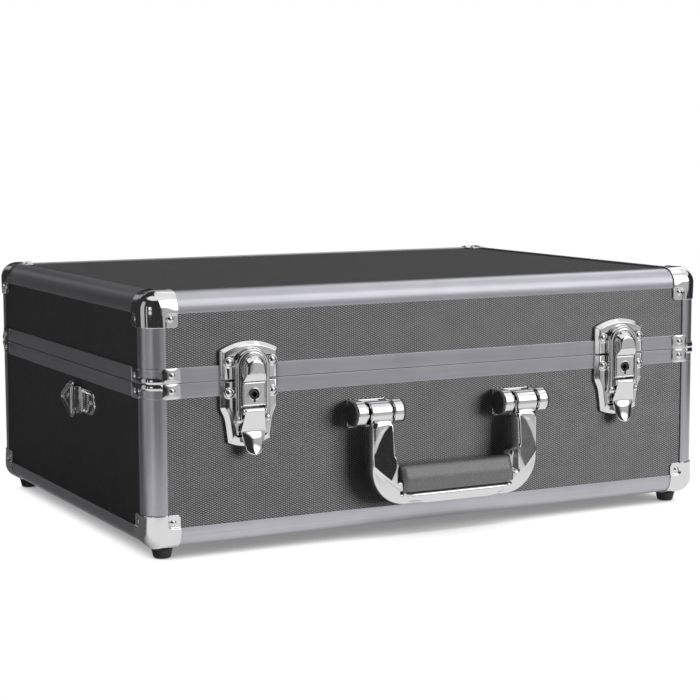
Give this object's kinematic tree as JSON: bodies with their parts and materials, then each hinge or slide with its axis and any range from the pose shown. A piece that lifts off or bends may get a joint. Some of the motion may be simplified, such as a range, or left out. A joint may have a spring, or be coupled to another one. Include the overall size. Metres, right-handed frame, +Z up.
{
  "type": "camera case",
  "caption": "Flat hard case with aluminium edge profiles, textured panels, ball corners, key latches, folding handle, strap rings and padded dividers.",
  "frame": {"origin": "middle of the whole case's footprint, on the floor under its feet", "axes": "+X along the width to the right as seen from the front, front faces -Y, +Z up"},
  "size_m": [0.4748, 0.3582, 0.1852],
  "materials": {
    "panel": "dark grey laminate with a fine raised diamond texture",
    "profile": "satin anodised extrusion",
    "hardware": "bright chrome plate on pressed and cast metal",
    "foot_rubber": "black moulded rubber",
    "grip": "dark grey moulded grip",
    "pin_caps": "dark pin with flat end caps",
    "lining": "dark short-pile cloth over foam"
  },
  "bodies": {
    "base": {"base_floor_panel": "panel", "base_front_panel": "panel", "base_rear_panel": "panel", "base_left_panel": "panel", "base_right_panel": "panel", "base_rails": "profile", "base_corner_posts": "profile", "base_bottom_edges": "profile", "base_ball_corners": "hardware", "base_rail_brackets": "hardware", "base_rivets": "hardware", "feet": "foot_rubber", "foot_screws": "hardware", "hinge_base_leaves": "hardware", "hinge_pins": "hardware", "left_latch_base_plate": "hardware", "right_latch_base_plate": "hardware", "left_latch_lock_case": "hardware", "right_latch_lock_case": "hardware", "left_latch_lever_pin": "hardware", "right_latch_lever_pin": "hardware", "handle_left_bracket": "hardware", "handle_right_bracket": "hardware", "handle_pins": "pin_caps", "left_strap_plate": "hardware", "right_strap_plate": "hardware", "base_wall_pads": "lining", "base_floor_pad": "lining", "long_divider": "lining", "cross_dividers": "lining"},
    "lid": {"lid_top_panel": "panel", "lid_front_panel": "panel", "lid_rear_panel": "panel", "lid_left_panel": "panel", "lid_right_panel": "panel", "lid_rails": "profile", "lid_corner_posts": "profile", "lid_top_edges": "profile", "lid_ball_corners": "hardware", "lid_rail_brackets": "hardware", "lid_rivets": "hardware", "lid_pad": "lining", "hinge_lid_leaves": "hardware", "left_latch_lid_plate": "hardware", "right_latch_lid_plate": "hardware"},
    "handle": {"handle_frame": "hardware", "handle_grip": "grip"},
    "left_ring": {"left_strap_ring": "hardware"},
    "right_ring": {"right_strap_ring": "hardware"},
    "left_lever": {"left_latch_lever": "hardware", "left_latch_hasp_pin": "hardware"},
    "left_hasp": {"left_latch_hasp": "hardware"},
    "left_key": {"left_latch_key_plug": "hardware"},
    "right_lever": {"right_latch_lever": "hardware", "right_latch_hasp_pin": "hardware"},
    "right_hasp": {"right_latch_hasp": "hardware"},
    "right_key": {"right_latch_key_plug": "hardware"}
  },
  "joints": [
    {"name": "lid_hinge", "type": "hinge", "parent": "base", "child": "lid", "pos_m": [0, 0.1756, 0.122], "axis": [-1, 0, 0], "range_deg": [0, 100]},
    {"name": "handle_swing", "type": "hinge", "parent": "base", "child": "handle", "pos_m": [0, -0.1649, 0.093], "axis": [-1, 0, 0], "range_deg": [0, 95]},
    {"name": "left_lever_swing", "type": "hinge", "parent": "base", "child": "left_lever", "pos_m": [-0.1545, -0.1634, 0.1006], "axis": [-1, 0, 0], "range_deg": [0, 110]},
    {"name": "left_hasp_swing", "type": "hinge", "parent": "left_lever", "child": "left_hasp", "pos_m": [-0.1545, -0.1615, 0.0946], "axis": [-1, 0, 0], "range_deg": [-132, 0]},
    {"name": "left_key_turn", "type": "hinge", "parent": "base", "child": "left_key", "pos_m": [-0.1545, -0.1646, 0.1126], "axis": [0, 1, 0], "range_deg": [0, 90]},
    {"name": "left_ring_swing", "type": "hinge", "parent": "base", "child": "left_ring", "pos_m": [-0.2344, -0.0206, 0.096], "axis": [0, 0, 1], "range_deg": [0, 165]},
    {"name": "right_lever_swing", "type": "hinge", "parent": "base", "child": "right_lever", "pos_m": [0.1545, -0.1634, 0.1006], "axis": [-1, 0, 0], "range_deg": [0, 110]},
    {"name": "right_hasp_swing", "type": "hinge", "parent": "right_lever", "child": "right_hasp", "pos_m": [0.1545, -0.1615, 0.0946], "axis": [-1, 0, 0], "range_deg": [-132, 0]},
    {"name": "right_key_turn", "type": "hinge", "parent": "base", "child": "right_key", "pos_m": [0.1545, -0.1646, 0.1126], "axis": [0, 1, 0], "range_deg": [0, 90]},
    {"name": "right_ring_swing", "type": "hinge", "parent": "base", "child": "right_ring", "pos_m": [0.2344, -0.0206, 0.096], "axis": [0, 0, -1], "range_deg": [0, 165]}
  ],
  "couplings": [
    {"joint": "left_hasp_swing", "follows": "left_lever_swing", "ratio": -1.2},
    {"joint": "right_hasp_swing", "follows": "right_lever_swing", "ratio": -1.2}
  ]
}
